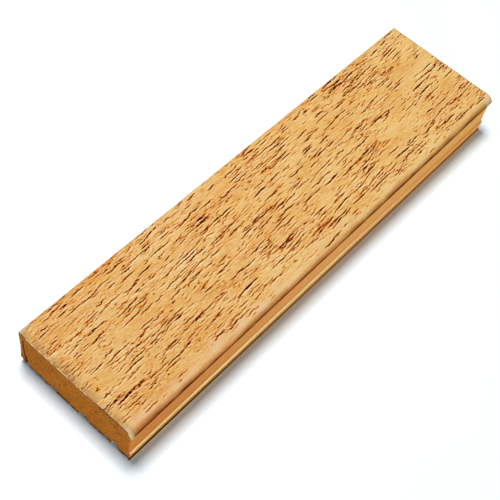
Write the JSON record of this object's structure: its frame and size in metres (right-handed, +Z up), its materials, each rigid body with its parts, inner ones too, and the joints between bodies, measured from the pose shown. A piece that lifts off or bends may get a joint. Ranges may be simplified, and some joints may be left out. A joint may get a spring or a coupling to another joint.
{
  "type": "threshold strip",
  "caption": "Short veneered floor threshold strip: flat textured wood top with one rounded front edge, square back edge, fibreboard core and grooved underside.",
  "frame": {"origin": "centre of the underside's bounding box, on the floor plane", "axes": "+X across the strip to the rounded front edge, +Y along the strip, +Z up"},
  "size_m": [0.05, 0.2, 0.019],
  "materials": {
    "core_fibreboard": "raw sawn fibreboard, matt",
    "glue_line": "cured dark adhesive",
    "face_veneer": "open-pored golden oak, satin lacquer",
    "backing_veneer": "plain pale balancing veneer, matt"
  },
  "bodies": {
    "root": {"core": "core_fibreboard", "face_glue_line": "glue_line", "face_veneer": "face_veneer", "backing_strip_1": "backing_veneer", "backing_strip_2": "backing_veneer", "backing_strip_3": "backing_veneer", "backing_strip_4": "backing_veneer", "backing_strip_5": "backing_veneer", "backing_strip_6": "backing_veneer"}
  },
  "joints": []
}
